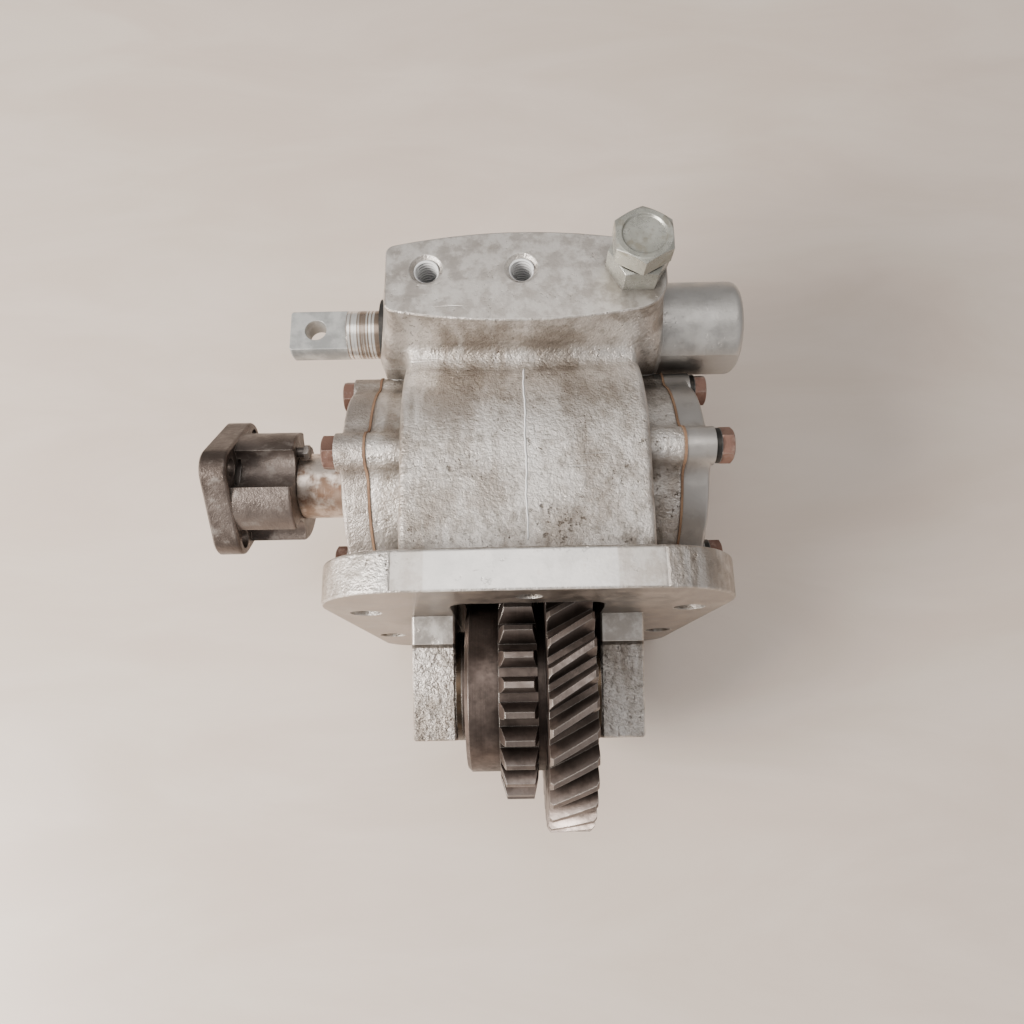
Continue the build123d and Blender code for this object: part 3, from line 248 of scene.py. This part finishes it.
def gear_steel():
    """Hardened teeth: dark, with painted shade and oil in the roots, and bright on the worn tips."""
    s = Shader("gear_steel")
    x, y, z = s.axes()
    dy = s.calc("SUBTRACT", y, IDLER_Y)
    dz = s.calc("SUBTRACT", z, IDLER_Z)
    radius = s.calc("SQRT", s.plus(s.times(dy, dy), s.times(dz, dz)))
    spur = s.times(s.step(x, -0.0127, -0.0126), s.step(x, 0.0036, 0.0037, 1.0, 0.0))
    helical = s.step(x, 0.0069, 0.007)
    spur_tips = s.times(spur, s.step(radius, 0.0462, 0.0487))
    tips = s.plus(spur_tips, s.times(helical, s.step(radius, 0.0595, 0.0622)))
    broad = s.noise(45.0, 4.0, 0.6)
    mottle = s.noise(160.0, 4.0, 0.65)
    fine = s.noise(900.0, 3.0, 0.6)
    turned = s.noise(1400.0, 1.0, 0.5, s.stretch((1.0, 0.02, 0.02)))
    colour = s.mix(s.step(broad, 0.36, 0.66), (0.055, 0.040, 0.034), (0.165, 0.128, 0.112))
    colour = s.mix(s.times(s.step(mottle, 0.5, 0.7), 0.5), colour, (0.045, 0.037, 0.032))
    colour = s.mix(s.times(tips, s.step(mottle, 0.3, 0.62, 0.95, 0.45)), colour, (0.25, 0.21, 0.19))
    colour = s.mix(s.times(s.edges(0.0006), 0.6), colour, (0.55, 0.53, 0.50))
    # Painted shade: tooth roots darkened by an occlusion mask, standing partly for oil.
    colour = s.mix(s.times(s.crevices(0.006), 0.7), colour, (0.02, 0.016, 0.013))
    s.set("Base Color", colour)
    s.set("Metallic", 0.8)
    s.set("Roughness", s.step(mottle, 0.3, 0.7, 0.30, 0.50))
    height = s.plus(s.times(mottle, 0.8), s.plus(s.times(fine, 0.4), s.times(turned, 0.5)))
    s.set("Normal", s.bump(height, 0.00018, 0.7, s.soft_edges(0.0004)))
    return s


def shaft_steel():
    """Output shaft: turned steel with patches of brown rust."""
    s = Shader("shaft_steel")
    mottle = s.noise(110.0, 5.0, 0.65)
    broad = s.noise(40.0, 3.0, 0.6)
    turned = s.noise(1500.0, 1.0, 0.5, s.stretch((1.0, 0.02, 0.02)))
    colour = s.mix(s.step(mottle, 0.40, 0.62), (0.78, 0.68, 0.60), (0.20, 0.12, 0.08))
    colour = s.mix(s.times(s.step(broad, 0.45, 0.6), 0.6), colour, (0.40, 0.31, 0.25))
    # Painted shade: corners darkened by an occlusion mask, standing partly for dirt.
    colour = s.mix(s.times(s.crevices(0.005), 0.6), colour, (0.06, 0.045, 0.035))
    colour = s.mix(s.times(s.edges(0.0007), 0.7), colour, (0.72, 0.68, 0.62))
    s.set("Base Color", colour)
    s.set("Metallic", 0.85)
    s.set("Roughness", s.step(mottle, 0.35, 0.65, 0.28, 0.55))
    s.set("Normal", s.bump(s.plus(mottle, s.times(turned, 0.6)), 0.00015, 0.7, s.soft_edges(0.0004)))
    return s


def rod_steel():
    """Shift rod: zinc-grey, with rings polished bright by the seal."""
    s = Shader("rod_steel")
    x, _, _ = s.axes()
    rings = s.times(s.step(x, -0.0797, -0.0793), s.step(x, -0.064, -0.063, 1.0, 0.0))
    mottle = s.noise(120.0, 4.0, 0.6)
    turned = s.noise(900.0, 1.0, 0.5, s.stretch((1.0, 0.01, 0.01)))
    colour = s.mix(s.step(mottle, 0.38, 0.66), (0.38, 0.385, 0.38), (0.60, 0.605, 0.59))
    band = s.mix(s.step(turned, 0.42, 0.60), (0.30, 0.23, 0.18), (0.86, 0.84, 0.80))
    colour = s.mix(rings, colour, band)
    # Painted shade: corners darkened by an occlusion mask, standing partly for dirt.
    colour = s.mix(s.times(s.crevices(0.005), 0.5), colour, (0.10, 0.085, 0.07))
    colour = s.mix(s.times(s.edges(0.0007), 0.5), colour, (0.70, 0.70, 0.69))
    s.set("Base Color", colour)
    s.set("Metallic", 0.7)
    s.set("Roughness", s.blend(rings, 0.48, 0.24))
    height = s.plus(s.times(mottle, 0.5), s.times(turned, 0.7))
    s.set("Normal", s.bump(height, 0.00012, 0.7, s.soft_edges(0.0005)))
    return s


def paper():
    """Brown gasket paper, oil-soaked, with fibres."""
    s = Shader("gasket_paper")
    fibre = s.noise(700.0, 3.0, 0.6)
    patch = s.noise(60.0, 3.0, 0.6)
    colour = s.mix(s.step(patch, 0.35, 0.65), (0.145, 0.075, 0.043), (0.30, 0.18, 0.108))
    colour = s.mix(s.times(fibre, 0.4), colour, (0.40, 0.27, 0.18))
    s.set("Base Color", colour)
    s.set("Roughness", 0.85)
    s.set("Normal", s.bump(fibre, 0.0002, 0.8))
    return s


def rubber():
    s = Shader("seal_rubber")
    dust = s.noise(150.0, 3.0, 0.6)
    s.set("Base Color", s.mix(s.step(dust, 0.45, 0.7), (0.018, 0.017, 0.016), (0.06, 0.055, 0.05)))
    s.set("Roughness", s.step(dust, 0.3, 0.7, 0.45, 0.7))
    s.set("Normal", s.bump(dust, 0.0001, 0.5))
    return s


def floor_tiles():
    """Pale beige stone floor, faintly veined."""
    s = Shader("pale_floor")
    veins = s.noise(5.0, 6.0, 0.6, s.stretch((1.0, 3.0, 1.0), turn=(0, 0, 0.5)), 0.6)
    colour = s.mix(s.step(veins, 0.3, 0.7), (0.74, 0.62, 0.53), (0.82, 0.71, 0.62))
    s.set("Base Color", colour)
    s.set("Roughness", 0.35)
    return s


housing_skin = cast_aluminium()
dress(housing_skin, "housing")
rough_cover = plain_metal(
    "sand_cast_aluminium",
    (0.62, 0.57, 0.53), (0.42, 0.375, 0.34), (0.26, 0.225, 0.195),
    0.85, 0.42, 100.0, 0.0016,
)
dress(rough_cover, "left_cover")
smooth_cover = plain_metal(
    "smooth_cast_aluminium",
    (0.58, 0.555, 0.53), (0.48, 0.455, 0.43), (0.36, 0.33, 0.31),
    0.8, 0.40, 50.0, 0.0002,
)
dress(smooth_cover, "right_cover")
rusty = plain_metal(
    "rusty_fastener_steel",
    (0.26, 0.15, 0.115), (0.13, 0.07, 0.055), (0.36, 0.255, 0.215),
    0.6, 0.42, 130.0, 0.0003, (0.55, 0.45, 0.40), 0.55,
)
dress(rusty, "left_cover_bolts", "right_cover_bolts")
black = plain_metal(
    "black_spring_steel",
    (0.045, 0.043, 0.04), (0.025, 0.023, 0.02), (0.08, 0.07, 0.06),
    0.7, 0.4, 120.0, 0.0001,
)
dress(black, "right_spring_washers", "left_circlip", "right_circlip", "detent_spring")
zinc = plain_metal(
    "zinc_plated_steel",
    (0.66, 0.66, 0.60), (0.44, 0.44, 0.39), (0.28, 0.25, 0.19),
    0.75, 0.30, 110.0, 0.0001,
)
dress(zinc, "detent_plug_nut", "detent_plug_bolt")
teeth = gear_steel()
dress(teeth, "idler_cluster_gear", "sliding_gear")
ground = plain_metal(
    "ground_steel",
    (0.45, 0.44, 0.43), (0.32, 0.31, 0.30), (0.18, 0.15, 0.13),
    0.85, 0.3, 100.0, 0.00008,
)
dress(ground, "idler_pin", "idler_lock_pin", "fork_pin", "yoke_key")
bronze = plain_metal(
    "thrust_bronze",
    (0.085, 0.058, 0.036), (0.04, 0.028, 0.020), (0.13, 0.085, 0.05),
    0.8, 0.28, 90.0, 0.0001,
)
dress(bronze, "left_thrust_washer", "right_thrust_washer")
bright = plain_metal(
    "bearing_steel",
    (0.60, 0.60, 0.61), (0.48, 0.48, 0.49), (0.35, 0.33, 0.30),
    0.95, 0.2, 90.0, 0.00003,
)
bearing_parts = ("outer_ring", "inner_ring", "balls", "cage")
dress(bright, *[f"{side}_bearing_{part}" for side in ("left", "right") for part in bearing_parts])
dress(bright, "left_needle_rollers", "right_needle_rollers", "needle_spacer", "detent_ball")
shaft = shaft_steel()
dress(shaft, "output_shaft")
iron = plain_metal(
    "yoke_cast_iron",
    (0.165, 0.135, 0.12), (0.075, 0.057, 0.048), (0.25, 0.22, 0.20),
    0.65, 0.38, 80.0, 0.0005, (0.36, 0.33, 0.30), 0.45,
)
dress(iron, "companion_flange", "shift_fork")
dark = plain_metal(
    "yoke_fastener_steel",
    (0.26, 0.24, 0.22), (0.15, 0.13, 0.12), (0.09, 0.07, 0.06),
    0.8, 0.38, 110.0, 0.0001,
)
dress(dark, "yoke_keeper_screw", "yoke_washer", "yoke_nut")
rod = rod_steel()
dress(rod, "shift_rod")
dress(paper(), "left_gasket", "right_gasket")
dress(rubber(), "output_oil_seal", "shift_rod_seal")


# ---------------------------------------------------------------- features added to the casting
def piece(name, vertices, faces, body="housing"):
    """A smooth mesh that moves with a body."""
    mesh = bpy.data.meshes.new(name)
    mesh.from_pydata(vertices, [], faces)
    thing = bpy.data.objects.new(name, mesh)
    bpy.context.scene.collection.objects.link(thing)
    for face in mesh.polygons:
        face.use_smooth = True
    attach(thing, body)


def swept(section, frames):
    """A closed section carried through frames of (place, across, up)."""
    vertices = []
    for place, across, up in frames:
        vertices += [place + across * a + up * b for a, b in section]
    count = len(section)
    faces = []
    for row in range(len(frames) - 1):
        for item in range(count):
            near = row * count + item
            beside = row * count + (item + 1) % count
            faces.append((near, beside, beside + count, near + count))
    faces.append(tuple(reversed(range(count))))
    faces.append(tuple(range(len(vertices) - count, len(vertices))))
    return vertices, faces


casting = bpy.data.objects["housing"]
casting_tree = BVHTree.FromObject(casting, bpy.context.evaluated_depsgraph_get())


def parting_line():
    """Raised seam of the mould along the top of the barrel, from the flange to the pad's wall."""
    frames = []
    for step in range(SEAM_STEPS):
        y = SEAM_START_Y + SEAM_STEP * step
        x = SEAM_X + 0.0002 * math.sin(step * 0.45) + 0.0001 * math.sin(step * 1.7)
        hit, normal, _, _ = casting_tree.ray_cast(Vector((x, y, 0.2)), Vector((0, 0, -1)))
        if hit is None or normal.z < 0.3:
            continue
        height = 0.00032 + 0.00012 * math.sin(step * 2.3)
        frames.append((hit, Vector((1, 0, 0)), normal * height))
    section = [
        (-0.0005, -0.8), (-0.0003, 0.6), (-0.0001, 1.0), (0.0001, 0.95), (0.0003, 0.5), (0.0005, -0.8),
    ]
    vertices, faces = swept(section, frames)
    piece("casting_seam", vertices, faces)


def thread(name, x, top):
    """Helical ridge of an M12 thread inside a pad hole."""
    frames = []
    for step in range(STEPS_PER_TURN * THREAD_TURNS):
        turn = 2 * math.pi * step / STEPS_PER_TURN
        out = Vector((math.cos(turn), math.sin(turn), 0))
        depth = THREAD_PITCH * step / STEPS_PER_TURN
        place = Vector((x, SHIFT_BLOCK_Y, top - depth)) + out * PAD_THREAD_RADIUS
        frames.append((place, Vector((0, 0, 1)), -out))
    section = [(-0.0008, 0.0), (-0.00012, 0.0007), (0.00012, 0.0007), (0.0008, 0.0)]
    vertices, faces = swept(section, frames)
    piece(name, vertices, faces)


parting_line()
thread("left_pad_thread", -0.0385, PAD_TOP - 0.0015)
thread("middle_pad_thread", 0.0, PAD_TOP - 0.0015)


# ---------------------------------------------------------------- floor, lights and camera
def plane(name, size, place, material):
    mesh = bpy.data.meshes.new(name)
    half = size / 2
    corners = [(-half, -half, 0), (half, -half, 0), (half, half, 0), (-half, half, 0)]
    mesh.from_pydata([Vector(corner) + Vector(place) for corner in corners], [], [(0, 1, 2, 3)])
    mesh.materials.append(material)
    thing = bpy.data.objects.new(name, mesh)
    bpy.context.scene.collection.objects.link(thing)
    return thing


plane("floor", 8.0, (0, 0, FLOOR_Z), floor_tiles().material)


def area_light(name, place, target, size, power, colour):
    data = bpy.data.lights.new(name, "AREA")
    data.shape = "RECTANGLE"
    data.size, data.size_y = size
    data.energy = power
    data.color = colour
    lamp = bpy.data.objects.new(name, data)
    lamp.location = place
    lamp.rotation_euler = (Vector(target) - Vector(place)).to_track_quat("-Z", "Y").to_euler()
    bpy.context.scene.collection.objects.link(lamp)


area_light("window", (-1.05, -0.45, 0.72), (0, 0.0, 0.0), (0.7, 0.6), 37.0, (1.0, 0.95, 0.89))
area_light("ceiling", (-0.1, 0.25, 1.8), (0, 0.05, 0), (1.2, 1.2), 12.0, (1.0, 0.965, 0.93))
area_light("fill", (1.2, -0.8, 0.9), (0, 0.0, 0), (1.2, 1.0), 1.5, (0.98, 0.97, 1.0))


def sky():
    world = bpy.data.worlds.new("room")
    world.use_nodes = True
    world.node_tree.nodes["Background"].inputs["Color"].default_value = (0.93, 0.91, 0.90, 1.0)
    world.node_tree.nodes["Background"].inputs["Strength"].default_value = 0.36
    bpy.context.scene.world = world


sky()

def camera():
    data = bpy.data.cameras.new("camera")
    data.sensor_width = 36.0
    data.lens = LENS
    data.clip_start = 0.01
    eye = bpy.data.objects.new("camera", data)
    turn = Matrix.Rotation(CAMERA_TILT, 4, "X") @ Matrix.Rotation(CAMERA_ROLL, 4, "Z")
    eye.matrix_world = Matrix.Translation(CAMERA_PLACE) @ turn
    bpy.context.scene.collection.objects.link(eye)
    bpy.context.scene.camera = eye


camera()
